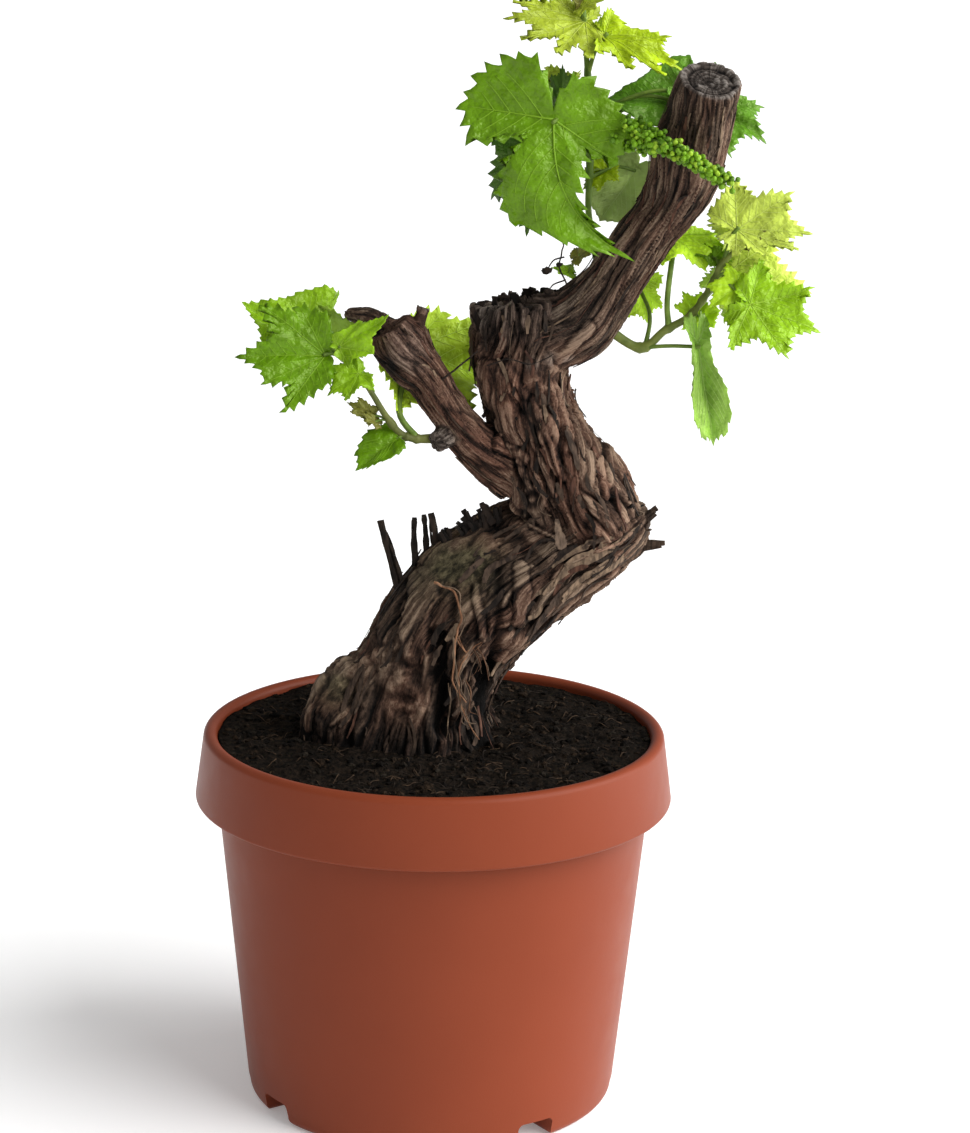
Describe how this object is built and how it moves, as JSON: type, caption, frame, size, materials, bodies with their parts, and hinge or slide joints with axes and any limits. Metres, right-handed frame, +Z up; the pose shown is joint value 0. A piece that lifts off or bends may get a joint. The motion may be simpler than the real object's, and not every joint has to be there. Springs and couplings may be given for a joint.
{
  "type": "potted grapevine bonsai",
  "caption": "Gnarled dwarf grapevine with a leaning zigzag trunk, pruned boughs and leafy shoots with flower buds, standing in a round collared pot with drain notches.",
  "frame": {"origin": "middle of the pot's flat underside, where it stands on the ground", "axes": "+Z up along the pot's axis, -Y towards the viewer of the picture, +X to the viewer's right, the side the trunk leans to"},
  "size_m": [0.3028, 0.24, 0.5595],
  "materials": {
    "pot": "satin",
    "soil": "matte",
    "trunk_bark": "rough",
    "bough_bark": "rough",
    "leaf_green": "satin",
    "young_green": "satin"
  },
  "bodies": {
    "root": {"pot": "pot", "soil": "soil", "trunk": "trunk_bark", "right_bough": "bough_bark", "left_bough": "bough_bark", "upper_shoot": "leaf_green", "right_shoot": "young_green", "left_shoot": "leaf_green"}
  },
  "joints": []
}
